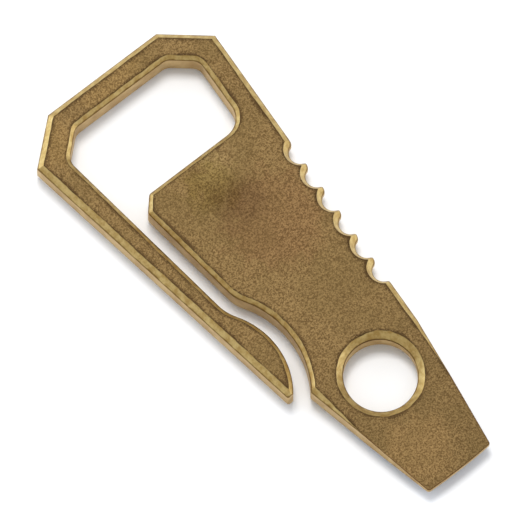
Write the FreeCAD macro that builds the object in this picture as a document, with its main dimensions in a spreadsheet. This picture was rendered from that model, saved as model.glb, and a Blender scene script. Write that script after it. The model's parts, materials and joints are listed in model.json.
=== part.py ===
"""Keychain bottle opener with a sprung clip arm and a driver blade, cut from one brass plate.

The plate lies flat with its back face on z = 0.  +Y points to the opener head, and x = 0 is the
centre line of the head.  The origin is under the middle of the plate.  Sizes are millimetres.

The whole plate is modelled once, as tool_blank, and then divided into four named zones: the
opener hoop, the grip plate, the driver tail and the clip arm.  The clip arm is the only zone
that moves: its root bends, so it is cut off at the middle of the bend.
"""
import FreeCAD, Part
import math
import os

from FreeCAD import Rotation, Vector
import Sketcher

DRIVING_SIZES = (
    ("plate_thick", 4.76, "3/16 inch plate"),
    ("tool_length", 88.20, "head to blade tip"),
    ("head_width", 37.10, "widest, across the head corners"),
    ("corner_cut_x", 7.28, "head corner cut, across"),
    ("corner_cut_y", 6.23, "head corner cut, along"),
    ("side_lean", 5.75, "right side, degrees from the centre line"),
    ("clip_outer_lean", 6.73, "outer side of the clip arm, degrees"),
    ("clip_inner_lean", 5.00, "inner side of the clip arm, degrees"),
    ("slot_lean", 4.74, "grip plate's side of the slot, degrees"),
    ("hoop_bar", 4.67, "width of the hoop's top bar"),
    ("mouth_height", 16.34, "opener mouth, top bar to catch lip"),
    ("mouth_top_right", 9.53, "right end of the mouth's top edge"),
    ("mouth_top_left", 9.25, "left end of the mouth's top edge"),
    ("mouth_cut_right_x", 4.06, "mouth corner cut, right, across"),
    ("mouth_cut_right_y", 3.51, "mouth corner cut, right, along"),
    ("mouth_cut_left_x", 4.39, "mouth corner cut, left, across"),
    ("mouth_cut_left_y", 3.83, "mouth corner cut, left, along"),
    ("lip_right", 12.38, "right end of the catch lip"),
    ("lip_left", 9.73, "left end of the catch lip, at the slot"),
    ("mouth_round", 2.20, "fillet in the mouth's corners"),
    ("lip_end_round", 3.80, "fillet at the right end of the catch lip"),
    ("lip_cut", 2.50, "cut across the lip's slot corner, along each side"),
    ("lip_round", 0.80, "fillets at both ends of that cut"),
    ("slot_width", 2.80, "slot around the clip's bulb"),
    ("bulb_x", 21.56, "centre of the bulb's curve, left of the centre line"),
    ("bulb_y", 9.09, "centre of the bulb's curve, below the middle"),
    ("bulb_radius", 13.90, "inner edge of the clip's bulb"),
    ("clip_blend", 8.00, "radius from the arm into the bulb"),
    ("slot_blend", 6.50, "radius from the slot into the hollow"),
    ("clip_end_y", 18.00, "blunt end of the clip, below the middle"),
    ("ring_x", 2.16, "ring hole, right of the centre line"),
    ("ring_y", 24.11, "ring hole, below the middle"),
    ("ring_radius", 6.00, "ring hole"),
    ("ring_chamfer", 1.20, "countersink around the ring hole"),
    ("tail_knee_y", 20.60, "where the right side turns in to the tail"),
    ("tail_lean", 9.93, "sides of the tail, degrees"),
    ("tip_width", 12.76, "driver tip"),
    ("tip_bow", 0.20, "bow of the driver tip"),
    ("tip_round", 0.60, "corners of the driver tip"),
    ("tip_thick", 0.80, "driver tip"),
    ("taper_start_y", 19.00, "where the faces start to close, below the middle"),
    ("outer_chamfer", 1.00, "outer edges"),
    ("inner_chamfer", 0.75, "edges of the mouth and the slot"),
    ("notch_radius", 1.85, "thumb notches"),
    ("notch_bevel_wide", 1.00, "sloping edges of the thumb notches, across"),
    ("notch_bevel_deep", 1.90, "sloping edges of the thumb notches, down"),
    ("notch_first", 24.37, "head corner to the first notch, along the side"),
    ("notch_pitch", 4.848, "from notch to notch"),
    ("notch_offset", 0.40, "notch centres outside the side"),
    ("bend_y", 27.50, "middle of the clip arm's bend"),
    ("bend_x", 15.13, "middle of the clip arm, left of the centre line"),
    ("bend_gap", 0.12, "clearance across the bend"),
    ("hoop_foot_y", 26.00, "end of the hoop on the right"),
    ("tail_top_y", 14.70, "end of the grip plate, below the middle"),
    ("split_bend_y", 2.80, "where the line between arm and grip turns out of the slot"),
    ("split_side_y", 7.20, "start of that line's upright part, below the middle"),
    ("split_foot_y", 10.80, "end of that line's upright part, below the middle"),
    ("split_end_x", 9.90, "end of that line, left of the centre line"),
)
NOTCH_COUNT = 6
CUT_MARGIN = 2.0        # how far cutting tools run past the plate

document = FreeCAD.newDocument("keychain_opener")
sheet = document.addObject("Spreadsheet::Sheet", "Dimensions")


def fill_sheet():
    """Write every driving size to the sheet as a note, a number and an alias."""
    for row, (alias, size, note) in enumerate(DRIVING_SIZES, start=1):
        sheet.set(f"A{row}", note)
        sheet.set(f"B{row}", str(size))
        sheet.setAlias(f"B{row}", alias)
    document.recompute()


class Size:
    """A number together with the sheet formula that gives it."""

    def __init__(self, value, formula=None):
        self.value = float(value)
        self.formula = formula or repr(float(value))

    def _with(self, other, value, sign):
        return Size(value, f"({self.formula} {sign} {other.formula})")

    def __add__(self, other):
        return self._with(other, self.value + other.value, "+")

    def __sub__(self, other):
        return self._with(other, self.value - other.value, "-")

    def __mul__(self, other):
        return self._with(other, self.value * other.value, "*")

    def __truediv__(self, other):
        return self._with(other, self.value / other.value, "/")

    def __neg__(self):
        return Size(-self.value, f"(-{self.formula})")


def dim(alias):
    """A driving size from the sheet."""
    return Size(sheet.get(alias), f"Dimensions.{alias}")


def number(value):
    return Size(value)


def trig(name, angle):
    """sin, cos or tan of a Size in degrees."""
    return Size(getattr(math, name)(math.radians(angle.value)), f"{name}({angle.formula})")


def bind(item, place, size, unit=""):
    """Set one property or constraint of an object from the sheet."""
    item.setExpression(place, f"{size.formula}{unit}")


def point(corner):
    return Vector(corner[0].value, corner[1].value, 0)


def origin_plane(body, role):
    return next(item for item in body.Origin.OriginFeatures if item.Role == role)


def new_body(name):
    body = document.addObject("PartDesign::Body", name)
    body.Label = name
    return body


def new_sketch(body, name, role):
    sketch = body.newObject("Sketcher::SketchObject", name)
    sketch.AttachmentSupport = [(origin_plane(body, role), "")]
    sketch.MapMode = "FlatFace"
    return sketch


def constrain(sketch, kind, *parts, size=None, unit=""):
    """Add one constraint, bound to the sheet where it has a size."""
    if size is None:
        return sketch.addConstraint(Sketcher.Constraint(kind, *parts))
    start = math.radians(size.value) if kind == "Angle" else size.value
    index = sketch.addConstraint(Sketcher.Constraint(kind, *parts, start))
    bind(sketch, f"Constraints[{index}]", size, unit)
    return index


def pin(sketch, geometry, end, corner):
    """Hold one end of a line or arc at a corner measured from the sketch's origin."""
    constrain(sketch, "DistanceX", geometry, end, size=corner[0])
    constrain(sketch, "DistanceY", geometry, end, size=corner[1])


def line(sketch, start, finish):
    return sketch.addGeometry(Part.LineSegment(start, finish), False)


def arc(sketch, centre, radius, first, last):
    """An arc that runs anticlockwise from one point to another."""
    circle = Part.Circle(centre, Vector(0, 0, 1), radius)
    turn = [math.atan2(end.y - centre.y, end.x - centre.x) for end in (first, last)]
    return sketch.addGeometry(Part.ArcOfCircle(circle, *turn), False)


def polygon(sketch, corners):
    """A closed polygon with every corner held by the sheet."""
    count = len(corners)
    sides = [line(sketch, point(corners[i]), point(corners[(i + 1) % count])) for i in range(count)]
    for i, corner in enumerate(corners):
        constrain(sketch, "Coincident", sides[i - 1], 2, sides[i], 1)
        pin(sketch, sides[i], 1, corner)
    return sides


def pad(body, sketch, name, length):
    feature = body.newObject("PartDesign::Pad", name)
    feature.Profile = sketch
    bind(feature, "Length", length)
    document.recompute()
    return feature


def cut_away(feature, before):
    """Stop if a cut took nothing from the plate."""
    document.recompute()
    if not feature.Shape.Volume < before - 0.01:
        raise RuntimeError(f"{feature.Label} cuts nothing")


# ---------------------------------------------------------------- the plate's outline

fill_sheet()

half = number(2)
head_half = dim("head_width") / half
length_half = dim("tool_length") / half
shoulder_y = length_half - dim("corner_cut_y")
mouth_top_y = length_half - dim("hoop_bar")
lip_y = mouth_top_y - dim("mouth_height")
knee_x = head_half - (shoulder_y + dim("tail_knee_y")) * trig("tan", dim("side_lean"))
tip_half = dim("tip_width") / half
tip_y = dim("tip_bow") - length_half
bulb_centre = (-dim("bulb_x"), -dim("bulb_y"))
hollow_radius = dim("bulb_radius") + dim("slot_width")

HEAD_LEFT = (-head_half, shoulder_y)
HEAD_RIGHT = (head_half, shoulder_y)
TOP_LEFT = (dim("corner_cut_x") - head_half, length_half)
TOP_RIGHT = (head_half - dim("corner_cut_x"), length_half)
KNEE = (knee_x, -dim("tail_knee_y"))
TIP_RIGHT = (dim("ring_x") + tip_half, tip_y)
TIP_LEFT = (dim("ring_x") - tip_half, tip_y)
LIP_LEFT = (-dim("lip_left"), lip_y)
LIP_RIGHT = (dim("lip_right"), lip_y)
MOUTH_RIGHT = (dim("mouth_top_right") + dim("mouth_cut_right_x"), mouth_top_y - dim("mouth_cut_right_y"))
MOUTH_TOP_RIGHT = (dim("mouth_top_right"), mouth_top_y)
MOUTH_TOP_LEFT = (-dim("mouth_top_left"), mouth_top_y)
MOUTH_LEFT = (-(dim("mouth_top_left") + dim("mouth_cut_left_x")), mouth_top_y - dim("mouth_cut_left_y"))
MOUTH_CORNERS = (MOUTH_RIGHT, MOUTH_TOP_RIGHT, MOUTH_TOP_LEFT, MOUTH_LEFT)
LIP_CUT_ENDS = (
    (dim("lip_cut") - dim("lip_left"), lip_y),
    (dim("lip_cut") * trig("sin", dim("slot_lean")) - dim("lip_left"),
     lip_y - dim("lip_cut") * trig("cos", dim("slot_lean"))),
)


def lean_end(start, lean, finish_y):
    """Where a side that leans to the right on its way down reaches a height."""
    drop = start.y - finish_y
    return Vector(start.x + drop * math.tan(math.radians(lean.value)), finish_y, 0)


def blend_centre(start, lean, radius, centre, round_radius):
    """Centre of the arc that joins a leaning side to a round form, both touched from the right."""
    turn = math.radians(lean.value)
    along = Vector(math.sin(turn), -math.cos(turn), 0)
    across = Vector(math.cos(turn), math.sin(turn), 0)
    begin = start + across * radius
    middle = (centre - begin).dot(along)
    offset = (centre - begin - along * middle).Length
    reach = math.sqrt((round_radius + radius) ** 2 - offset ** 2)
    return begin + along * (middle - reach), across


def slot_side(sketch, top, lean, blend, round_radius):
    """One side of the slot: a leaning line, a blend and the round form that ends it."""
    start, centre = point(top), point(bulb_centre)
    middle, across = blend_centre(start, lean, blend.value, centre, round_radius.value)
    touch = middle - across * blend.value
    handover = centre + (middle - centre).normalize() * round_radius.value
    low = centre + Vector(round_radius.value, -round_radius.value, 0) * math.sqrt(0.5)
    side = line(sketch, start, touch)
    bend = arc(sketch, middle, blend.value, touch, handover)
    form = arc(sketch, centre, round_radius.value, low, handover)
    constrain(sketch, "Angle", side, size=lean - number(90), unit=" * 1 deg")
    constrain(sketch, "Radius", bend, size=blend)
    constrain(sketch, "Radius", form, size=round_radius)
    pin(sketch, form, 3, bulb_centre)
    constrain(sketch, "Tangent", side, 2, bend, 1)
    constrain(sketch, "Tangent", bend, 2, form, 2)
    return side, bend, form


def draw_outline(sketch):
    """The plate's closed outline; returns its outer and inner sides by number."""
    chain = [HEAD_LEFT, TOP_LEFT, TOP_RIGHT, HEAD_RIGHT, KNEE, TIP_RIGHT]
    outer = [line(sketch, point(a), point(b)) for a, b in zip(chain, chain[1:])]
    for side, corner in zip(outer, chain):
        pin(sketch, side, 1, corner)
    for first, second in zip(outer, outer[1:]):
        constrain(sketch, "Coincident", first, 2, second, 1)

    tip_radius = (tip_half * tip_half + dim("tip_bow") * dim("tip_bow")) / (half * dim("tip_bow"))
    tip_centre = Vector(dim("ring_x").value, tip_radius.value - length_half.value, 0)
    tip = arc(sketch, tip_centre, tip_radius.value, point(TIP_LEFT), point(TIP_RIGHT))
    constrain(sketch, "Coincident", outer[-1], 2, tip, 2)
    pin(sketch, tip, 2, TIP_RIGHT)
    pin(sketch, tip, 1, TIP_LEFT)
    constrain(sketch, "Radius", tip, size=tip_radius)

    lip_chain = [LIP_LEFT, LIP_RIGHT, MOUTH_RIGHT, MOUTH_TOP_RIGHT, MOUTH_TOP_LEFT, MOUTH_LEFT]
    mouth = [line(sketch, point(a), point(b)) for a, b in zip(lip_chain, lip_chain[1:])]
    for side, corner in zip(mouth, lip_chain):
        pin(sketch, side, 1, corner)
    for first, second in zip(mouth, mouth[1:]):
        constrain(sketch, "Coincident", first, 2, second, 1)
    pin(sketch, mouth[-1], 2, MOUTH_LEFT)

    slot = slot_side(sketch, LIP_LEFT, dim("slot_lean"), dim("slot_blend"), hollow_radius)
    clip = slot_side(sketch, MOUTH_LEFT, dim("clip_inner_lean"), dim("clip_blend"), dim("bulb_radius"))
    constrain(sketch, "Coincident", slot[0], 1, mouth[0], 1)
    constrain(sketch, "Coincident", clip[0], 1, mouth[-1], 2)

    low_hollow = sketch.Geometry[slot[2]].StartPoint
    tail_left = line(sketch, point(TIP_LEFT), low_hollow)
    constrain(sketch, "Coincident", tail_left, 1, tip, 1)
    constrain(sketch, "Coincident", tail_left, 2, slot[2], 1)
    constrain(sketch, "Angle", tail_left, size=number(90) + dim("tail_lean"), unit=" * 1 deg")

    clip_low = lean_end(point(HEAD_LEFT), dim("clip_outer_lean"), -dim("clip_end_y").value)
    clip_outer = line(sketch, point(HEAD_LEFT), clip_low)
    constrain(sketch, "Coincident", clip_outer, 1, outer[0], 1)
    constrain(sketch, "Coincident", clip_outer, 2, clip[2], 1)
    constrain(sketch, "Angle", clip_outer, size=dim("clip_outer_lean") - number(90), unit=" * 1 deg")
    return outer + [tail_left, clip_outer], mouth + list(slot) + list(clip)


# ---------------------------------------------------------------- edges picked by place


def upright_edge(shape, corner):
    """The name of the plate's upright edge at a corner."""
    place = point(corner)
    for index, edge in enumerate(shape.Edges, start=1):
        low, high = edge.Vertexes[0].Point, edge.Vertexes[-1].Point
        flat = math.hypot(low.x - place.x, low.y - place.y)
        if abs(low.z - high.z) > 0.1 and flat < 0.01:
            return f"Edge{index}"
    raise RuntimeError(f"no upright edge at {place}")


def rim_edges(shape, sketch, sides):
    """The names of the edges around both faces that follow the given sides of the outline."""
    names = set()
    for side in sides:
        curve = sketch.Geometry[side].toShape()
        middle = curve.valueAt((curve.FirstParameter + curve.LastParameter) / 2)
        for height in (0.0, dim("plate_thick").value):
            probe = Part.Vertex(middle.x, middle.y, height)
            for index, edge in enumerate(shape.Edges, start=1):
                if edge.distToShape(probe)[0] < 1e-4:
                    names.add(f"Edge{index}")
    return sorted(names)


def dress(body, kind, name, base, edges, place, size):
    """A fillet or chamfer on the named edges of the feature before it."""
    feature = body.newObject(f"PartDesign::{kind}", name)
    feature.Base = (base, edges)
    feature.Refine = False
    bind(feature, place, size)
    document.recompute()
    return feature


# ---------------------------------------------------------------- cuts in the plate


def cut_blade_taper(body):
    """Close both faces towards the driver tip, evenly on each side of the middle."""
    sketch = new_sketch(body, "blade_taper_section", "YZ_Plane")
    start = -dim("taper_start_y")
    end = -(length_half + number(CUT_MARGIN))
    thick = dim("plate_thick")
    fall = (thick - dim("tip_thick")) / half
    depth = fall * (start - end) / (start + length_half)
    beyond = number(CUT_MARGIN)
    polygon(sketch, [(start, thick), (end, thick - depth), (end, thick + beyond), (start, thick + beyond)])
    polygon(sketch, [(start, number(0)), (start, -beyond), (end, -beyond), (end, depth)])
    before = body.Shape.Volume
    feature = body.newObject("PartDesign::Pocket", "blade_taper")
    feature.Profile = sketch
    feature.Midplane = True
    feature.Refine = False
    bind(feature, "Length", dim("head_width") * half)
    cut_away(feature, before)
    return feature


def turned_cut(body, name, centre, height, tilt, section):
    """Cut a turned form, whose axis stands at a centre and height and leans by tilt along Y."""
    sketch = new_sketch(body, f"{name}_section", "XZ_Plane")
    sketch.AttachmentOffset = FreeCAD.Placement(Vector(), Rotation(Vector(1, 0, 0), tilt.value))
    bind(sketch, ".AttachmentOffset.Base.x", centre[0], " * 1 mm")
    bind(sketch, ".AttachmentOffset.Base.y", height, " * 1 mm")
    bind(sketch, ".AttachmentOffset.Base.z", -centre[1], " * 1 mm")
    if tilt.value:
        bind(sketch, ".AttachmentOffset.Rotation.Angle", tilt, " * 1 deg")
    polygon(sketch, section)
    before = body.Shape.Volume
    feature = body.newObject("PartDesign::Groove", name)
    feature.Profile = sketch
    feature.ReferenceAxis = (sketch, ["V_Axis"])
    feature.Angle = 360
    feature.Refine = False
    cut_away(feature, before)
    return feature


def cut_notches(body):
    """Six round thumb notches along the right side, each with its own steep bevel."""
    thick, radius = dim("plate_thick"), dim("notch_radius")
    across, down = dim("notch_bevel_wide"), dim("notch_bevel_deep")
    over = number(CUT_MARGIN)
    wide = radius + across + over * across / down
    section = [
        (number(0), -over), (wide, -over), (radius, down),
        (radius, thick - down), (wide, thick + over), (number(0), thick + over),
    ]
    sine, cosine = trig("sin", dim("side_lean")), trig("cos", dim("side_lean"))
    out = dim("notch_offset")
    for index in range(NOTCH_COUNT):
        along = dim("notch_first") + number(index) * dim("notch_pitch")
        centre = (head_half - along * sine + out * cosine, shoulder_y - along * cosine - out * sine)
        turned_cut(body, f"thumb_notch_{index + 1}", centre, number(0), number(0), section)


def cut_ring_hole(body):
    """The key-ring hole: an upright bore, countersunk square to the tapered faces."""
    centre = (dim("ring_x"), -dim("ring_y"))
    radius, bevel, thick = dim("ring_radius"), dim("ring_chamfer"), dim("plate_thick")
    over = number(CUT_MARGIN)
    bore = [(number(0), -over), (radius, -over), (radius, thick + over), (number(0), thick + over)]
    turned_cut(body, "ring_bore", centre, number(0), number(0), bore)
    fall = (thick - dim("tip_thick")) / half
    run = length_half - dim("taper_start_y")
    face_drop = fall * (dim("ring_y") - dim("taper_start_y")) / run
    angle = math.degrees(math.atan2(fall.value, run.value))
    tilt = Size(angle, f"atan2({fall.formula}; {run.formula}) / 1 deg")
    wide = radius + bevel + over
    upper = [(number(0), -bevel), (radius, -bevel), (wide, over), (number(0), over)]
    lower = [(number(0), bevel), (number(0), -over), (wide, -over), (radius, bevel)]
    turned_cut(body, "ring_countersink_top", centre, thick - face_drop, tilt, upper)
    turned_cut(body, "ring_countersink_back", centre, face_drop, -tilt, lower)


def blunt_clip_end(body):
    """Take the sharp point off the clip arm."""
    sketch = new_sketch(body, "clip_end_section", "XY_Plane")
    left, right = -head_half, -(dim("bulb_x") - dim("bulb_radius") + dim("slot_width"))
    top, low = -dim("clip_end_y"), -(dim("clip_end_y") + number(CUT_MARGIN))
    polygon(sketch, [(left, low), (right, low), (right, top), (left, top)])
    before = body.Shape.Volume
    feature = body.newObject("PartDesign::Pocket", "clip_end")
    feature.Profile = sketch
    feature.Reversed = True
    bind(feature, "Length", dim("plate_thick"))
    cut_away(feature, before)


def round_corners(body, plate):
    """Round the mouth's corners and take the point off the lip where it meets the slot."""
    uprights = [upright_edge(plate.Shape, corner) for corner in MOUTH_CORNERS]
    rounds = dress(body, "Fillet", "mouth_rounds", plate, uprights, "Radius", dim("mouth_round"))
    uprights = [upright_edge(rounds.Shape, LIP_RIGHT)]
    rounds = dress(body, "Fillet", "lip_end_round", rounds, uprights, "Radius", dim("lip_end_round"))
    uprights = [upright_edge(rounds.Shape, LIP_LEFT)]
    cut = dress(body, "Chamfer", "lip_cut", rounds, uprights, "Size", dim("lip_cut"))
    uprights = [upright_edge(cut.Shape, corner) for corner in LIP_CUT_ENDS]
    return dress(body, "Fillet", "lip_rounds", cut, uprights, "Radius", dim("lip_round"))


def make_blank():
    """The whole opener as one plate, chamfered, notched, tapered and bored."""
    body = new_body("tool_blank")
    outline = new_sketch(body, "outline", "XY_Plane")
    outer, inner = draw_outline(outline)
    plate = pad(body, outline, "plate", dim("plate_thick"))

    rounds = round_corners(body, plate)
    rim = rim_edges(rounds.Shape, outline, outer)
    bevel = dress(body, "Chamfer", "outer_bevel", rounds, rim, "Size", dim("outer_chamfer"))
    rim = rim_edges(bevel.Shape, outline, inner)
    bevel = dress(body, "Chamfer", "inner_bevel", bevel, rim, "Size", dim("inner_chamfer"))
    tips = [upright_edge(bevel.Shape, corner) for corner in (TIP_LEFT, TIP_RIGHT)]
    dress(body, "Fillet", "tip_rounds", bevel, tips, "Radius", dim("tip_round"))
    cut_blade_taper(body)
    cut_notches(body)
    cut_ring_hole(body)
    blunt_clip_end(body)
    return body


# ---------------------------------------------------------------- zones of the plate


def make_zone(blank, name, corners):
    """A named sub-part: what the blank has inside one polygon."""
    zone = new_body(f"{name}_zone")
    sketch = new_sketch(zone, f"{name}_zone_outline", "XY_Plane")
    polygon(sketch, corners)
    pad(zone, sketch, f"{name}_zone_pad", dim("plate_thick"))
    part = document.addObject("Part::Common", name)
    part.Label = name
    part.Base = blank
    part.Tool = zone
    part.Refine = True
    document.recompute()
    return part


def make_zones(blank):
    """The three still zones and the clip arm, divided where nothing shows."""
    far = dim("tool_length")
    lean = dim("clip_outer_lean")
    reach = dim("hoop_bar")
    cosine, sine = trig("cos", lean), trig("sin", lean)

    def across_bend(side, gap):
        """A point level with the bend, left (-1) or right (+1) of the arm, up or down by gap."""
        step, rise = number(side) * reach, number(gap) * dim("bend_gap") / half
        return (step * cosine - dim("bend_x") + rise * sine * number(-1),
                dim("bend_y") + step * sine + rise * cosine)

    slot_line = [
        (-(dim("lip_left") + dim("slot_width") / half), lip_y),
        (-dim("lip_left"), dim("split_bend_y")),
        (dim("bulb_radius") + dim("slot_width") / half - dim("bulb_x"), -dim("split_side_y")),
        (dim("bulb_radius") + dim("slot_width") / half - dim("bulb_x"), -dim("split_foot_y")),
        (-dim("split_end_x"), -dim("clip_end_y") - number(CUT_MARGIN)),
    ]
    below = (slot_line[-1][0], -far)
    arm_corners = [across_bend(-1, -1), across_bend(1, -1)] + slot_line + [(-far, slot_line[-1][1])]
    foot, low = dim("hoop_foot_y"), -dim("tail_top_y")
    hoop_corners = [
        across_bend(-1, 1), across_bend(1, 1), (number(0), foot), (far, foot), (far, far), (-far, far),
    ]
    split_x = slot_line[3][0]
    grip_corners = [(far, low), (far, foot), (number(0), foot)] + slot_line[:4] + [(split_x, low)]
    tail_corners = [(split_x, low), slot_line[-1], below, (far, -far), (far, low)]
    return [
        make_zone(blank, "opener_hoop", hoop_corners),
        make_zone(blank, "grip_plate", grip_corners),
        make_zone(blank, "driver_tail", tail_corners),
        make_zone(blank, "clip_arm", arm_corners),
    ]


def check_document():
    """Stop if any object of the document failed to compute."""
    for item in document.Objects:
        if "Invalid" in item.State or "Error" in item.State:
            raise RuntimeError(f"{item.Label} failed: {item.State}")


def export(parts):
    os.makedirs("parts", exist_ok=True)
    for part in parts:
        shape = part.Shape
        if shape.isNull() or not shape.isValid() or len(shape.Solids) != 1:
            raise RuntimeError(f"{part.Label} is not one sound solid")
        print(f"{part.Label}: {shape.Volume:.1f} mm3")
        shape.exportStep(os.path.join("parts", f"{part.Label}.step"))


tool_blank = make_blank()
sub_parts = make_zones(tool_blank)
check_document()
print(f"whole plate: {tool_blank.Shape.Volume:.1f} mm3")
export(sub_parts)
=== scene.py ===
import json
import math

import bmesh
import bpy
import numpy as np
from mathutils import Matrix, Vector
from mathutils.bvhtree import BVHTree
from mathutils.geometry import delaunay_2d_cdt
from mathutils.kdtree import KDTree

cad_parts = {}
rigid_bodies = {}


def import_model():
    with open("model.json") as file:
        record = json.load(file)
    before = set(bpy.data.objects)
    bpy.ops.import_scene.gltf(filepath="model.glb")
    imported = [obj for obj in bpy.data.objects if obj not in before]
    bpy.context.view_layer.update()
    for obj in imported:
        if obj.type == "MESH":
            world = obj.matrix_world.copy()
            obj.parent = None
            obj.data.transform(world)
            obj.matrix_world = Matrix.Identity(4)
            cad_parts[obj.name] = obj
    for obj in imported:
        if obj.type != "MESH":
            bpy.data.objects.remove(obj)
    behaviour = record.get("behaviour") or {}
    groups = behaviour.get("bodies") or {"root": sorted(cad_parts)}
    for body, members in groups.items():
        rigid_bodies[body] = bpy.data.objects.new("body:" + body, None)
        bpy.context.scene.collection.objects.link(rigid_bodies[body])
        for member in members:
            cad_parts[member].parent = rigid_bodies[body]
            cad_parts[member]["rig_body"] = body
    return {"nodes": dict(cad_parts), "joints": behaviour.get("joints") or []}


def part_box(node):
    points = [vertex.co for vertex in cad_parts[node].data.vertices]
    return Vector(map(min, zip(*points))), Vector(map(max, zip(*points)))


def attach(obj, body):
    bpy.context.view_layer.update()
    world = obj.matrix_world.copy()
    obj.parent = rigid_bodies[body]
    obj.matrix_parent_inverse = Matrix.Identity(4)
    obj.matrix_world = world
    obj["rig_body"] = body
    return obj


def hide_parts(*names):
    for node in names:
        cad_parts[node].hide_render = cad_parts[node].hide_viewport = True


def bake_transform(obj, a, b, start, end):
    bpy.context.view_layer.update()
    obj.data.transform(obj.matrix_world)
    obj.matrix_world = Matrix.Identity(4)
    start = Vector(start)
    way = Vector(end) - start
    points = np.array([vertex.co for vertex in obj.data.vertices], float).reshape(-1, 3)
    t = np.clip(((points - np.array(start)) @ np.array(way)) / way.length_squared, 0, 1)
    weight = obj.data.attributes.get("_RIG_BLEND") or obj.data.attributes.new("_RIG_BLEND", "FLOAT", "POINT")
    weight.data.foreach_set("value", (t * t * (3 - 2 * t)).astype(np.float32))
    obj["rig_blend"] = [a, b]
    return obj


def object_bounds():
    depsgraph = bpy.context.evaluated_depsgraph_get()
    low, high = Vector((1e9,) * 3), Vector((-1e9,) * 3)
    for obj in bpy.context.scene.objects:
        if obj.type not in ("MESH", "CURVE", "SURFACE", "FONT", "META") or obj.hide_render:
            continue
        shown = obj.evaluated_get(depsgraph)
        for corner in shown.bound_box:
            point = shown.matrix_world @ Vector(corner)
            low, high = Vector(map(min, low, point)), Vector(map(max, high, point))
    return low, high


# A flat brass bottle opener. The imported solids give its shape: this script reads the outline and
# the upper surface from them, makes one finely divided skin with worn edges, and cuts it into one
# piece for each solid. Lengths are in millimetres until a mesh is written, in metres.

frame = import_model()
cad_low, cad_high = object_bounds()

MM = 0.001

# The plate
THICK = cad_high.z / MM
MIDDLE = THICK / 2
HINGE = Vector(frame["joints"][0]["pos_m"]) / MM
ARM_LEAN = math.radians(6.73)
ALONG_ARM = Vector((math.sin(ARM_LEAN), -math.cos(ARM_LEAN), 0))
SLOT_X = HINGE.x + 6          # between the clip arm and the grip, at the hinge
BEND_BEFORE = 6.5             # the arm flexes over this stretch above the hinge
BEND_AFTER = 7.5              # and over this one below it
SEAM_GAP = 0.2                # more than the slit between the hoop and the clip arm
SEAM_NEAR = 0.002             # a point this near to where two zones meet is on their seam
HOOP_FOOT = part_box("opener_hoop")[0].y / MM
TAIL_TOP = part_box("driver_tail")[1].y / MM

# The skin's divisions
WELD = 0.001                  # vertices of a solid that are nearer than this are one
SAME_POINT = 0.01             # points of an outline that are nearer than this are one
IN_LINE = math.radians(0.25)  # an outline that turns by less than this runs straight on
WORN = 0.06                   # how far an edge is worn away, on each side of it
BLUNT = 0.35                  # how far the outline's sharp corners are worn back
SHARP = math.radians(60)
CREASE = math.radians(18)     # an edge of the solids that turns by more than this is a crease
LEAST_LIFT = 0.3              # the normal's upward part: a wall's is less than this
BEVEL_LIFT = 0.95             # a bevel's is less than this
FLAT_LIFT = 0.97              # and a flat face's is more than this
STEEPEST = 1.3                # the steepest slope that a rim is rounded over from
OUTLINE_STEP = 0.5
CREASE_STEP = 0.4
LATTICE_STEP = 0.5
MARK_STEP = 0.05              # between the marks that distances are measured to
ON_CREASE = 0.05              # how far points on a crease keep from the others,
BESIDE_CREASE = 0.045         # points beside one,
ON_LATTICE = 0.24             # and points of the lattice
SCATTER_CELL = 0.3            # more than any of these
RIM_ROWS = 3
SPOKES = 8                    # heights are averaged over this many places round a point
GAPS = ("edge_gap", "rim_gap")

# The camera, round the middle of the tool
AIM = Vector((0.52, 3.63, 0)) * MM
AZIMUTH = math.radians(-41.63)
ELEVATION = math.radians(69.56)
ROLL = math.radians(2.46)
CAMERA_AWAY = 1.2903
FOCAL = 548.57


# ---------------------------------------------------------------- the outline

def solid_mesh(node):
    """The node's solid, welded, in millimetres."""
    mesh = bmesh.new()
    mesh.from_mesh(node.data)
    bmesh.ops.transform(mesh, matrix=Matrix.Scale(1 / MM, 4), verts=mesh.verts)
    bmesh.ops.remove_doubles(mesh, verts=mesh.verts, dist=WELD)
    mesh.normal_update()
    return mesh


def on_seam(point):
    """Whether a point of the section lies where two of the solids meet."""
    if point.x < SLOT_X:
        return abs((point.to_3d() - HINGE.xy.to_3d()).dot(ALONG_ARM)) < SEAM_GAP / 2
    return min(abs(point.y - HOOP_FOOT), abs(point.y - TAIL_TOP)) < SEAM_NEAR


def section(mesh):
    """The sides of the solid's cross section at half thickness, without the seams."""
    cut = mesh.copy()
    everything = cut.verts[:] + cut.edges[:] + cut.faces[:]
    made = bmesh.ops.bisect_plane(
        cut, geom=everything, dist=1e-6, plane_co=(0, 0, MIDDLE), plane_no=(0, 0, 1)
    )["geom_cut"]
    sides = [
        [vert.co.xy.copy() for vert in edge.verts]
        for edge in made
        if isinstance(edge, bmesh.types.BMEdge)
    ]
    cut.free()
    return [side for side in sides if not all(on_seam(end) for end in side)]


def chain(sides):
    """Joins loose sides end to end into closed loops, across the slit at a seam too."""
    ends = np.array([[list(end) for end in side] for side in sides])
    free = np.ones(len(ends), bool)
    loops = []
    while free.any():
        first = int(np.argmax(free))
        free[first] = False
        loop = [ends[first, 0], ends[first, 1]]
        while free.any():
            away = np.linalg.norm(ends - loop[-1], axis=2)
            away[~free] = np.inf
            side, end = np.unravel_index(np.argmin(away), away.shape)
            if away[side, end] > SEAM_GAP:
                break
            free[side] = False
            loop += [ends[side, end], ends[side, 1 - end]]
        loops.append(loop)
    return loops


def turn(before, here, after):
    """The angle that a path turns through at a point."""
    return abs((here - before).angle_signed(after - here, 0))


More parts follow.
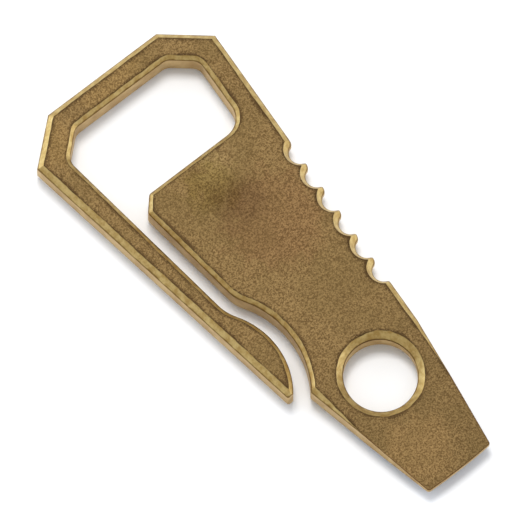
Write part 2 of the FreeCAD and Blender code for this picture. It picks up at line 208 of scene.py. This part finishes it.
def corners_of(points):
    """The loop without repeated points or points in line."""
    corners = []
    for point in map(Vector, points):
        if not corners or (point - corners[-1]).length > SAME_POINT:
            corners.append(point)
    if (corners[0] - corners[-1]).length <= SAME_POINT:
        corners.pop()
    count = len(corners)
    return [
        corners[i]
        for i in range(count)
        if turn(corners[i - 1], corners[i], corners[(i + 1) % count]) > IN_LINE
    ]


def area(loop):
    """The loop's area, which is negative if it runs clockwise."""
    return sum(loop[i - 1].cross(loop[i]) for i in range(len(loop))) / 2


def facing_in(loops):
    """Turns the loops so that the brass is on the left of each: the outer one is the largest."""
    loops = sorted(loops, key=lambda loop: -abs(area(loop)))
    wanted = [1] + [-1] * (len(loops) - 1)
    return [loop if area(loop) * way > 0 else loop[::-1] for loop, way in zip(loops, wanted)]


def set_back(corners, i, way):
    """The place on the loop that is BLUNT away from a corner, and how many corners lie between."""
    here, left = corners[i], BLUNT
    for passed in range(len(corners)):
        following = corners[(i + way * (passed + 1)) % len(corners)]
        step = (following - here).length
        if step > left:
            return here.lerp(following, left / step), passed
        left -= step
        here = following


def blunted(corners):
    """The loop with its sharp outward corners worn round. The brass is on the loop's left."""
    count = len(corners)
    dropped, curves = set(), {}
    for i, corner in enumerate(corners):
        into = (corner - corners[i - 1]).normalized()
        out = (corners[(i + 1) % count] - corner).normalized()
        if into.cross(out) < math.sin(SHARP):
            continue
        start, back = set_back(corners, i, -1)
        end, ahead = set_back(corners, i, 1)
        dropped |= {(i + k) % count for k in range(-back, ahead + 1)}
        shares = (0, 0.25, 0.5, 0.75, 1)
        curves[i] = [start.lerp(corner, t).lerp(corner.lerp(end, t), t) for t in shares]
    loop = []
    for i, corner in enumerate(corners):
        loop += curves.get(i, [] if i in dropped else [corner])
    return loop


def divided(corners):
    """The loop with its long sides divided evenly."""
    loop = []
    for i, corner in enumerate(corners):
        following = corners[(i + 1) % len(corners)]
        steps = math.ceil((following - corner).length / OUTLINE_STEP)
        loop += [corner.lerp(following, step / steps) for step in range(steps)]
    return loop


def inward(loop):
    """For each point, the vector into the brass that moves both its sides by 1."""
    least_share = 0.4         # a very sharp corner moves less, so that its vector stays short
    ways = []
    for i, here in enumerate(loop):
        before = (here - loop[i - 1]).normalized()
        after = (loop[(i + 1) % len(loop)] - here).normalized()
        bisector = (before.orthogonal() + after.orthogonal()).normalized()
        ways.append(bisector / max(least_share, bisector.dot(before.orthogonal())))
    return ways


def inside(points, loops):
    """Which of the points lie in the brass, by counting the sides to the right of each."""
    points = np.asarray(points, float).reshape(-1, 2)
    crossings = np.zeros(len(points), int)
    for loop in loops:
        ring = np.array([list(point) for point in loop])
        for (ax, ay), (bx, by) in zip(ring, np.roll(ring, -1, axis=0)):
            if ay == by:
                continue
            level = (points[:, 1] > ay) != (points[:, 1] > by)
            reach = ax + (points[:, 1] - ay) * (bx - ax) / (by - ay)
            crossings += level & (points[:, 0] < reach)
    return crossings % 2 == 1


# ---------------------------------------------------------------- the upper surface

def surface_tree(meshes):
    """All the solids' faces, for looking down on."""
    verts, faces = [], []
    for mesh in meshes:
        first = len(verts)
        verts += [vert.co.copy() for vert in mesh.verts]
        faces += [[first + vert.index for vert in face.verts] for face in mesh.faces]
    return BVHTree.FromPolygons(verts, faces)


def look_down(tree, point):
    """The upper surface's place and normal at a point, or None outside it. The slit is bridged."""
    above = Vector((point[0], point[1], 2 * THICK))
    over_slit = point[0] < SLOT_X and abs((above - HINGE).dot(ALONG_ARM)) < SEAM_GAP
    for shift in (0, SEAM_GAP, -SEAM_GAP) if over_slit else (0,):
        place, normal = tree.ray_cast(above + ALONG_ARM * shift, Vector((0, 0, -1)))[:2]
        if place is not None and place.z > MIDDLE:
            return place, normal
    return None


def height(tree, point):
    """How high the upper surface is at a point, or None outside it."""
    seen = look_down(tree, point)
    return seen and seen[0].z


def worn_height(tree, point):
    """The height averaged round a point, so that flat stretches stay and creases are worn round."""
    heights = [
        height(tree, (point[0] + WORN * math.cos(angle), point[1] + WORN * math.sin(angle)))
        for angle in (2 * math.pi * spoke / SPOKES for spoke in range(SPOKES))
    ]
    pairs = [
        (heights[i] + heights[i + SPOKES // 2]) / 2
        for i in range(SPOKES // 2)
        if None not in (heights[i], heights[i + SPOKES // 2])
    ]
    return sum(pairs) / len(pairs) if pairs else height(tree, point)


def creases(mesh):
    """The upper surface's creases: each one's two ends and whether it borders the flat face."""
    for edge in mesh.edges:
        if len(edge.link_faces) != 2 or edge.calc_face_angle(0) < CREASE:
            continue
        lifts = [face.normal.z for face in edge.link_faces]
        if min(lifts) > LEAST_LIFT:
            start, end = (vert.co.xy.copy() for vert in edge.verts)
            yield start, end, max(lifts) > FLAT_LIFT


def dots(start, end, step):
    """Points from start to end, no further apart than step."""
    steps = max(1, math.ceil((end - start).length / step))
    return [start.lerp(end, i / steps) for i in range(steps + 1)]


class Scatter:
    """Points that keep their distance: one that is offered too near another isn't taken."""

    def __init__(self, points):
        self.cells = {}
        self.points = []
        for point in points:
            self.take(point)

    def key(self, point):
        return int(point[0] // SCATTER_CELL), int(point[1] // SCATTER_CELL)

    def take(self, point):
        self.cells.setdefault(self.key(point), []).append(point)
        self.points.append(point)

    def offer(self, point, gap):
        column, row = self.key(point)
        near = (
            other
            for i in (column - 1, column, column + 1)
            for j in (row - 1, row, row + 1)
            for other in self.cells.get((i, j), ())
        )
        if all((other - point).length > gap for other in near):
            self.take(point)


def lattice():
    """Points in rows over the whole plate, with every second row set off by half a step."""
    low, high = cad_low / MM, cad_high / MM
    row_step = LATTICE_STEP * math.sqrt(3) / 2
    for row in range(math.ceil((high.y - low.y) / row_step)):
        for column in range(math.ceil((high.x - low.x) / LATTICE_STEP)):
            shift = 0.5 * (row % 2)
            yield Vector((low.x + (column + shift) * LATTICE_STEP, low.y + row * row_step))


def face_points(rims, crease_lines):
    """The points that divide the upper surface: its rims, then the creases, then the lattice."""
    scatter = Scatter([point for rim in rims for point in rim])
    fixed = len(scatter.points)
    on_crease, beside = [], []
    for start, end, _ in crease_lines:
        if (end - start).length < WELD:
            continue
        side = (end - start).normalized().orthogonal()
        for point in dots(start, end, CREASE_STEP):
            on_crease.append(point)
            beside += [point + side * WORN, point - side * WORN]
    for offered, gap in (
        (on_crease, ON_CREASE),
        (beside, BESIDE_CREASE),
        (list(lattice()), ON_LATTICE),
    ):
        for point, is_in in zip(offered, inside([list(p) for p in offered], rims)):
            if is_in:
                scatter.offer(point, gap)
    return scatter.points, fixed


def triangles(points, rims):
    """Joins the points into triangles that fill the rims."""
    sides, first = [], 0
    for rim in rims:
        count = len(rim)
        sides += [(first + i, first + (i + 1) % count) for i in range(count)]
        first += count
    whole_hull, near = 0, 1e-7
    made = delaunay_2d_cdt(points, sides, [], whole_hull, near)
    verts, faces, came_from = made[0], made[2], made[3]
    index = [origin[0] for origin in came_from]
    centres = [
        [sum(verts[i][axis] for i in face) / len(face) for axis in (0, 1)] for face in faces
    ]
    return [
        [index[i] for i in face]
        for face, is_in in zip(faces, inside(centres, rims))
        if is_in
    ]


def finder(lines):
    """Finds the nearest place on any of the lines, which run from one point to another."""
    marks = [dot for start, end in lines for dot in dots(start, end, MARK_STEP)]
    nearest = KDTree(len(marks))
    for i, mark in enumerate(marks):
        nearest.insert(mark.to_3d(), i)
    nearest.balance()
    return nearest


def edge_gap(points, tree, crease_lines):
    """How far each point is from the flat face's edge: below 0 on the bevels."""
    nearest = finder([(start, end) for start, end, flat in crease_lines if flat])
    gaps = []
    for point in points:
        seen = look_down(tree, point)
        away = nearest.find(point.to_3d())[2]
        on_bevel = seen and seen[1].z < BEVEL_LIFT
        gaps.append(-away if on_bevel else away)
    return gaps


def rim_gap(points, rims):
    """How far each point is from the upright walls."""
    nearest = finder([side for rim in rims for side in zip(rim, rim[1:] + rim[:1])])
    return [nearest.find(point.to_3d())[2] for point in points]


# ---------------------------------------------------------------- the skin

def rim_rows(loop, ways, rim_heights, slopes):
    """Rows of points that round the surface over from its rim into the upright wall."""
    rows = []
    for row in range(1, RIM_ROWS + 1):
        t = row / RIM_ROWS
        points = []
        for here, way, top, slope in zip(loop, ways, rim_heights, slopes):
            corner = top - WORN * slope
            foot = corner - WORN * math.hypot(1, slope)
            across = WORN * (1 - t) ** 2
            z = (1 - t) ** 2 * top + 2 * t * (1 - t) * corner + t ** 2 * foot
            points.append((here + way * across).to_3d() + Vector((0, 0, z)))
        rows.append(points)
    return rows


def bridge(skin, first_row, second_row):
    """Quads between two closed rows of vertices."""
    for i in range(len(first_row)):
        skin.faces.new((first_row[i - 1], first_row[i], second_row[i], second_row[i - 1]))


def make_skin(meshes):
    """The whole tool as one closed mesh in millimetres, with both of GAPS on its vertices."""
    tree = surface_tree(meshes)
    sides = [side for mesh in meshes for side in section(mesh)]
    loops = facing_in([corners_of(loop) for loop in chain(sides)])
    loops = [divided(blunted(loop)) for loop in loops]
    ways = [inward(loop) for loop in loops]
    rims = [[p + way * WORN for p, way in zip(loop, out)] for loop, out in zip(loops, ways)]
    crease_lines = [crease for mesh in meshes for crease in creases(mesh)]
    points, fixed = face_points(rims, crease_lines)
    faces = triangles(points, rims)
    gaps = list(zip(edge_gap(points, tree, crease_lines), rim_gap(points, rims)))
    heights = [height(tree, p) for p in points[:fixed]]
    heights += [worn_height(tree, p) for p in points[fixed:]]

    skin = bmesh.new()
    for name in GAPS:
        skin.verts.layers.float.new(name)
    gap_layers = [skin.verts.layers.float[name] for name in GAPS]

    def add(place, gap):
        vert = skin.verts.new(place)
        for layer, value in zip(gap_layers, gap):
            vert[layer] = value
        return vert

    walls = []
    for side in (1, -1):
        verts = [
            add((p.x, p.y, MIDDLE + side * (z - MIDDLE)), gap)
            for p, z, gap in zip(points, heights, gaps)
        ]
        for face in faces:
            skin.faces.new([verts[i] for i in face])
        first = 0
        for loop, out in zip(loops, ways):
            count = len(loop)
            tops = heights[first:first + count]
            slopes = [
                min(STEEPEST, max(0, (height(tree, p + way * 2 * WORN) or top) - top) / WORN)
                for p, way, top in zip(loop, out, tops)
            ]
            rows = [verts[first:first + count]]
            for row in rim_rows(loop, out, tops, slopes):
                rows.append([
                    add((p.x, p.y, MIDDLE + side * (p.z - MIDDLE)), gap)
                    for p, gap in zip(row, gaps[first:first + count])
                ])
            for upper, lower in zip(rows, rows[1:]):
                bridge(skin, upper, lower)
            walls.append(rows[-1])
            first += count
    for i in range(len(loops)):
        bridge(skin, walls[i], walls[i + len(loops)])
    bmesh.ops.recalc_face_normals(skin, faces=skin.faces)
    return skin


def open_along(skin, place, normal, wanted):
    """Cuts the skin along a plane, where the faces are wanted, and parts it there."""
    faces = [face for face in skin.faces if wanted(face.calc_center_median())]
    verts = dict.fromkeys(vert for face in faces for vert in face.verts)
    edges = dict.fromkeys(edge for face in faces for edge in face.edges)
    made = bmesh.ops.bisect_plane(
        skin, geom=[*verts, *edges, *faces], dist=1e-5, plane_co=place, plane_no=normal
    )["geom_cut"]
    rim = [item for item in made if isinstance(item, bmesh.types.BMEdge)]
    bmesh.ops.split_edges(skin, edges=rim)


def islands(skin):
    """The skin's unconnected parts, as sets of faces, in the order of their first faces."""
    waiting = set(skin.faces)
    for seed in skin.faces:
        if seed not in waiting:
            continue
        waiting.discard(seed)
        island, reached = {seed}, [seed]
        while reached:
            for edge in reached.pop().edges:
                for face in edge.link_faces:
                    if face in waiting:
                        waiting.discard(face)
                        island.add(face)
                        reached.append(face)
        yield island


def closed_piece(skin, island):
    """One island as a mesh of its own, with a sharp-edged cap where it was cut."""
    piece = skin.copy()
    numbers = {face.index for face in island}
    others = [face for face in piece.faces if face.index not in numbers]
    bmesh.ops.delete(piece, geom=others, context="FACES")
    rim = [edge for edge in piece.edges if edge.is_boundary]
    for edge in rim:
        edge.smooth = False
    flat = set(bmesh.ops.holes_fill(piece, edges=rim, sides=0)["faces"])
    bmesh.ops.recalc_face_normals(piece, faces=piece.faces)
    for face in piece.faces:
        face.smooth = face not in flat
    return piece


def write_piece(piece, name, material):
    """Puts the piece in the scene, in metres, with each vertex's place in mm stored on it."""
    place_layer = piece.verts.layers.float_vector.new("rest_mm")
    for vert in piece.verts:
        vert[place_layer] = vert.co
    bmesh.ops.scale(piece, vec=(MM, MM, MM), verts=piece.verts)
    data = bpy.data.meshes.new(name)
    piece.to_mesh(data)
    piece.free()
    data.materials.append(material)
    made = bpy.data.objects.new(name, data)
    bpy.context.scene.collection.objects.link(made)
    weighted = made.modifiers.new("even_shading", "WEIGHTED_NORMAL")
    weighted.keep_sharp = True
    weighted.weight = 100
    return made


def node_of(island):
    """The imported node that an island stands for: the one whose box has the nearest middle."""
    corners = [vert.co * MM for face in island for vert in face.verts]
    low = Vector([min(corner[axis] for corner in corners) for axis in range(3)])
    high = Vector([max(corner[axis] for corner in corners) for axis in range(3)])

    def away(node):
        node_low, node_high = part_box(node)
        return ((node_low + node_high) - (low + high)).length

    return min(frame["nodes"], key=away)


def make_pieces(material):
    """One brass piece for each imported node. The clip's starts above the hinge, where it flexes."""
    skin = make_skin([solid_mesh(node) for node in frame["nodes"].values()])
    hinge = Vector((HINGE.x, HINGE.y, 0))
    bend_start = hinge - ALONG_ARM * BEND_BEFORE
    bend_end = hinge + ALONG_ARM * BEND_AFTER
    open_along(skin, bend_start, ALONG_ARM, lambda centre: centre.x < SLOT_X)
    for level in (HOOP_FOOT, TAIL_TOP):
        open_along(skin, (0, level, 0), (0, 1, 0), lambda centre: centre.x > SLOT_X)
    skin.faces.index_update()
    for island in islands(skin):
        node = node_of(island)
        made = write_piece(closed_piece(skin, island), node + "_brass", material)
        body = frame["nodes"][node]["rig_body"]
        if body == "clip_arm":
            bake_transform(made, "tool_body", "clip_arm", start=bend_start * MM, end=bend_end * MM)
        else:
            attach(made, body)
        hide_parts(node)
    skin.free()


# ---------------------------------------------------------------- the brass

class Shader:
    """A material's nodes: each call adds one, with its inputs set or linked by name.

    An input called i0, i1 and so on is taken by its number.
    """

    def __init__(self, name):
        self.material = bpy.data.materials.new(name)
        self.material.use_nodes = True
        self.tree = self.material.node_tree
        self.tree.nodes.clear()

    def node(self, kind, settings=None, **inputs):
        made = self.tree.nodes.new("ShaderNode" + kind)
        for name, value in (settings or {}).items():
            setattr(made, name, value)
        for name, value in inputs.items():
            numbered = name[0] == "i" and name[1:].isdigit()
            self.plug(made.inputs[int(name[1:]) if numbered else name.replace("_", " ")], value)
        return made

    def plug(self, socket, value):
        """Links a socket, or sets it."""
        if isinstance(value, bpy.types.NodeSocket):
            self.tree.links.new(value, socket)
        else:
            socket.default_value = value

    def math(self, operation, first, second=0.0):
        return self.node("Math", {"operation": operation}, i0=first, i1=second).outputs[0]

    def noise(self, place, scale, detail, roughness):
        """0 to 1, and mostly near 0.5. A higher scale is finer."""
        return self.node(
            "TexNoise", Vector=place, Scale=scale, Detail=detail, Roughness=roughness
        ).outputs["Fac"]

    def swing(self, place, scale, detail, roughness):
        """A noise from -0.5 to 0.5."""
        return self.math("SUBTRACT", self.noise(place, scale, detail, roughness), 0.5)

    def step(self, value, low, high):
        """0 below low, 1 above high, and smooth between them. high may be below low."""
        settings = {"interpolation_type": "SMOOTHSTEP"}
        made = self.node("MapRange", settings, Value=value, From_Min=low, From_Max=high)
        return made.outputs["Result"]

    def mix(self, share, first, second, way="MIX"):
        made = self.node("Mix", {"data_type": "RGBA", "blend_type": way})
        self.plug(made.inputs[0], share)
        for index, colour in ((6, first), (7, second)):
            plain = isinstance(colour, tuple)
            self.plug(made.inputs[index], (*colour, 1) if plain else colour)
        return made.outputs[2]

    def blend(self, share, first, second):
        """A number between first and second."""
        made = self.node("MapRange", Value=share, To_Min=first, To_Max=second)
        return made.outputs["Result"]


# Colours of the brass, from the darkest to the lightest
PATINA = (0.062, 0.034, 0.014)
FACE_DARK = (0.106, 0.062, 0.023)
FACE_LIGHT = (0.254, 0.166, 0.068)
CLOUD = (0.120, 0.080, 0.028)
EDGE_BROWN = (0.130, 0.068, 0.026)
BEVEL_DARK = (0.430, 0.280, 0.090)
BEVEL_LIGHT = (0.610, 0.455, 0.185)
WALL_DARK = (0.420, 0.270, 0.105)
WALL_LIGHT = (0.590, 0.425, 0.200)

# How strongly some of these are laid on
CLOUD_SHARE = 0.3
PATINA_SHARE = 0.8
EDGE_SHARE = 0.7
FLECK_SHARE = 0.2

# How far the borders between them swing to and fro
PATCH_SWING = 12.0
TEETH_SWING = 2.6
DRIFT_SWING = 1.4
FACE_SWING = 0.35
EDGE_SWING = 0.3

# How far a patch fades out beyond its reach, and in before it
FADE_OUT = 2.5
FADE_IN = 2.0

# The height of the brass's relief: the grain on the ground parts and on the face, and the ripple
GROUND_GRAIN = 0.0008
FACE_GRAIN = 0.006
RIPPLE = 0.012

# Patches where the upper face is made lighter or darker: the place, the reach, and the colour's multiplier.
# The darker ones and the small pale one by the lip are blotches of the brass, and the broad ones on the
# hoop's bars only make those stretches lighter. The broad lighter one over the tail is painted light, a
# brighter pool of lamp light.
TONE_AND_LIGHT_PATCHES = (
    ((5.5, 7.0), 8.0, (0.99, 0.92, 0.95)),
    ((4.2, 20.2), 2.4, (1.24, 1.30, 1.38)),
    ((1.3, 17.8), 4.0, (0.80, 0.81, 0.66)),
    ((2.9, 12.9), 3.6, (0.79, 0.76, 0.78)),
    ((-13.4, 38.6), 3.5, (1.17, 1.15, 1.10)),
    # painted light: the tail made lighter, as if more lamp light fell on it
    ((-0.9, -37.6), 5.5, (1.20, 1.18, 1.18)),
    ((0.5, 42.0), 6.0, (1.12, 1.11, 1.06)),
)


def patch(shader, place, centre, reach):
    """1 in an uneven patch of the upper face and 0 well outside it."""
    away = shader.node("VectorMath", {"operation": "DISTANCE"}, i0=place, i1=(*centre, THICK))
    uneven = shader.swing(place, scale=0.42, detail=5, roughness=0.7)
    uneven = shader.math("MULTIPLY", uneven, PATCH_SWING)
    spread = shader.math("ADD", away.outputs["Value"], uneven)
    return shader.step(spread, low=reach + FADE_OUT, high=reach - FADE_IN)


def face_colour(shader, place, gap):
    """The tumbled face: speckled brown gold with cloudy patches, lighter and darker patches of its own, a
    painted pool of lamp light over the tail, and a dark ragged rim.
    """
    grain = shader.noise(place, scale=3.7, detail=4, roughness=0.7)
    colour = shader.mix(shader.step(grain, low=0.36, high=0.64), FACE_DARK, FACE_LIGHT)
    cloud = shader.noise(place, scale=0.13, detail=2, roughness=0.5)
    cloud = shader.step(cloud, low=0.4, high=0.68)
    colour = shader.mix(shader.math("MULTIPLY", cloud, CLOUD_SHARE), colour, CLOUD)
    # each patch multiplies the colour; the tail's patch is painted light, the others are the brass's own
    # blotches and lighter stretches
    for centre, reach, tone_and_light in TONE_AND_LIGHT_PATCHES:
        colour = shader.mix(patch(shader, place, centre, reach), colour, tone_and_light, "MULTIPLY")
    teeth = shader.swing(place, scale=3.6, detail=4, roughness=0.8)
    drift = shader.swing(place, scale=0.28, detail=1, roughness=0.5)
    reach = shader.math("ADD", gap, shader.math("MULTIPLY", teeth, TEETH_SWING))
    reach = shader.math("ADD", reach, shader.math("MULTIPLY", drift, DRIFT_SWING))
    rim = shader.step(reach, low=0.47, high=0.0)
    return shader.mix(shader.math("MULTIPLY", rim, PATINA_SHARE), colour, PATINA)


def bevel_colour(shader, place):
    """The ground bevels: smoother, brighter gold, faintly streaked."""
    streak = shader.noise(place, scale=0.9, detail=3, roughness=0.6)
    colour = shader.mix(shader.step(streak, low=0.3, high=0.7), BEVEL_DARK, BEVEL_LIGHT)
    fleck = shader.noise(place, scale=4.0, detail=2, roughness=0.5)
    fleck = shader.step(fleck, low=0.45, high=0.75)
    return shader.mix(shader.math("MULTIPLY", fleck, FLECK_SHARE), colour, FACE_LIGHT)


def wall_colour(shader, place):
    """The upright walls: pale, slightly pink brass."""
    mottle = shader.noise(place, scale=0.35, detail=3, roughness=0.5)
    return shader.mix(shader.step(mottle, low=0.25, high=0.75), WALL_DARK, WALL_LIGHT)


def brass_relief(shader, place, is_face):
    """The grain of the tumbled face and the ripple that the grinding left."""
    grain = shader.noise(place, scale=4.5, detail=3, roughness=0.6)
    grain = shader.math("MULTIPLY", grain, shader.blend(is_face, GROUND_GRAIN, FACE_GRAIN))
    ripple = shader.noise(place, scale=0.7, detail=2, roughness=0.5)
    relief = shader.math("ADD", grain, shader.math("MULTIPLY", ripple, RIPPLE))
    return shader.node("Bump", Height=relief, Distance=MM, Strength=1.0).outputs["Normal"]


def tumbled_brass():
    """The one material: face, bevel or wall, by the place on the skin."""
    shader = Shader("tumbled_brass")
    place = shader.node("Attribute", {"attribute_name": "rest_mm"}).outputs["Vector"]
    gap = shader.node("Attribute", {"attribute_name": "edge_gap"}).outputs["Fac"]
    to_wall = shader.node("Attribute", {"attribute_name": "rim_gap"}).outputs["Fac"]
    normal = shader.node("NewGeometry").outputs["Normal"]
    lift = shader.math("ABSOLUTE", shader.node("SeparateXYZ", Vector=normal).outputs["Z"])

    waver = shader.swing(place, scale=0.45, detail=2, roughness=0.6)
    wavy_gap = shader.math("ADD", gap, shader.math("MULTIPLY", waver, FACE_SWING))
    wavy_rim = shader.math("ADD", to_wall, shader.math("MULTIPLY", waver, EDGE_SWING))
    is_face = shader.step(wavy_gap, low=-0.10, high=0.02)
    is_edge = shader.step(wavy_rim, low=0.17, high=0.06)
    is_wall = shader.step(lift, low=0.45, high=0.2)

    colour = shader.mix(is_face, bevel_colour(shader, place), face_colour(shader, place, gap))
    colour = shader.mix(shader.math("MULTIPLY", is_edge, EDGE_SHARE), colour, EDGE_BROWN)
    colour = shader.mix(is_wall, colour, wall_colour(shader, place))

    fine = shader.noise(place, scale=2.5, detail=3, roughness=0.6)
    broad = shader.noise(place, scale=0.8, detail=3, roughness=0.6)
    face_roughness = shader.blend(fine, 0.5, 0.75)
    ground_roughness = shader.blend(broad, 0.42, 0.58)
    extra = shader.math("SUBTRACT", face_roughness, ground_roughness)
    roughness = shader.math("ADD", ground_roughness, shader.math("MULTIPLY", extra, is_face))

    surface = shader.node(
        "BsdfPrincipled",
        Base_Color=colour,
        Metallic=1.0,
        Roughness=roughness,
        Normal=brass_relief(shader, place, is_face),
    )
    shader.node("OutputMaterial", Surface=surface.outputs["BSDF"])
    return shader.material


# ---------------------------------------------------------------- the studio

def floor_paper():
    """Plain white paper with a hardly visible tooth."""
    shader = Shader("white_paper")
    place = shader.node("TexCoord").outputs["Object"]
    tooth = shader.noise(place, scale=900.0, detail=2, roughness=0.5)
    bump = shader.node("Bump", Height=tooth, Distance=0.00002, Strength=0.3)
    paper = shader.node(
        "BsdfPrincipled",
        Base_Color=(0.95, 0.95, 0.95, 1),
        Roughness=0.9,
        Normal=bump.outputs["Normal"],
    )
    shader.node("OutputMaterial", Surface=paper.outputs["BSDF"])
    return shader.material


def make_floor():
    """A wide sheet, just below the tool's back so that the two don't flicker."""
    half_side, drop = 1.5, 0.00002
    level = cad_low.z - drop
    signs = ((-1, -1), (1, -1), (1, 1), (-1, 1))
    corners = [(half_side * x, half_side * y, level) for x, y in signs]
    data = bpy.data.meshes.new("floor")
    data.from_pydata(corners, [], [(0, 1, 2, 3)])
    data.materials.append(floor_paper())
    floor = bpy.data.objects.new("floor", data)
    bpy.context.scene.collection.objects.link(floor)


def direction(azimuth, elevation):
    """The way from the tool to something seen at that azimuth and elevation."""
    level = math.cos(elevation)
    return Vector((math.sin(azimuth) * level, -math.cos(azimuth) * level, math.sin(elevation)))


def make_camera():
    """A long lens that looks steeply down on the tool."""
    data = bpy.data.cameras.new("camera")
    data.lens = FOCAL
    camera = bpy.data.objects.new("camera", data)
    bpy.context.scene.collection.objects.link(camera)
    back = direction(AZIMUTH, ELEVATION)
    camera.location = AIM + back * CAMERA_AWAY
    level = (-back).to_track_quat("-Z", "Y")
    camera.rotation_mode = "QUATERNION"
    camera.rotation_quaternion = level @ Matrix.Rotation(ROLL, 3, "Z").to_quaternion()
    bpy.context.scene.camera = camera


def make_light(name, azimuth, elevation, away, size, power, colour):
    """A square soft light that faces the tool. Azimuth 0 is on the camera's side."""
    data = bpy.data.lights.new(name, "AREA")
    data.size = size
    data.energy = power
    data.color = colour
    light = bpy.data.objects.new(name, data)
    bpy.context.scene.collection.objects.link(light)
    way = direction(AZIMUTH + math.radians(azimuth), math.radians(elevation))
    light.location = AIM + way * away
    light.rotation_mode = "QUATERNION"
    light.rotation_quaternion = (-way).to_track_quat("-Z", "Y")


def make_world():
    """Even, faintly cool light from all round."""
    world = bpy.data.worlds.new("studio")
    bpy.context.scene.world = world
    world.use_nodes = True
    background = world.node_tree.nodes["Background"]
    background.inputs["Color"].default_value = (0.97, 0.985, 1, 1)
    background.inputs["Strength"].default_value = 0.68


make_camera()
make_world()
make_light("key", azimuth=196, elevation=70, away=0.8, size=0.30, power=3.5, colour=(1, 1, 1))
make_light(
    "left", azimuth=-112, elevation=17, away=0.9, size=0.7, power=3.4, colour=(0.84, 0.97, 1.2)
)
make_light(
    "right", azimuth=95, elevation=14, away=0.9, size=0.6, power=2.7, colour=(0.92, 1.0, 1.2)
)
make_floor()
make_pieces(tumbled_brass())
bpy.context.scene.view_settings.view_transform = "Standard"
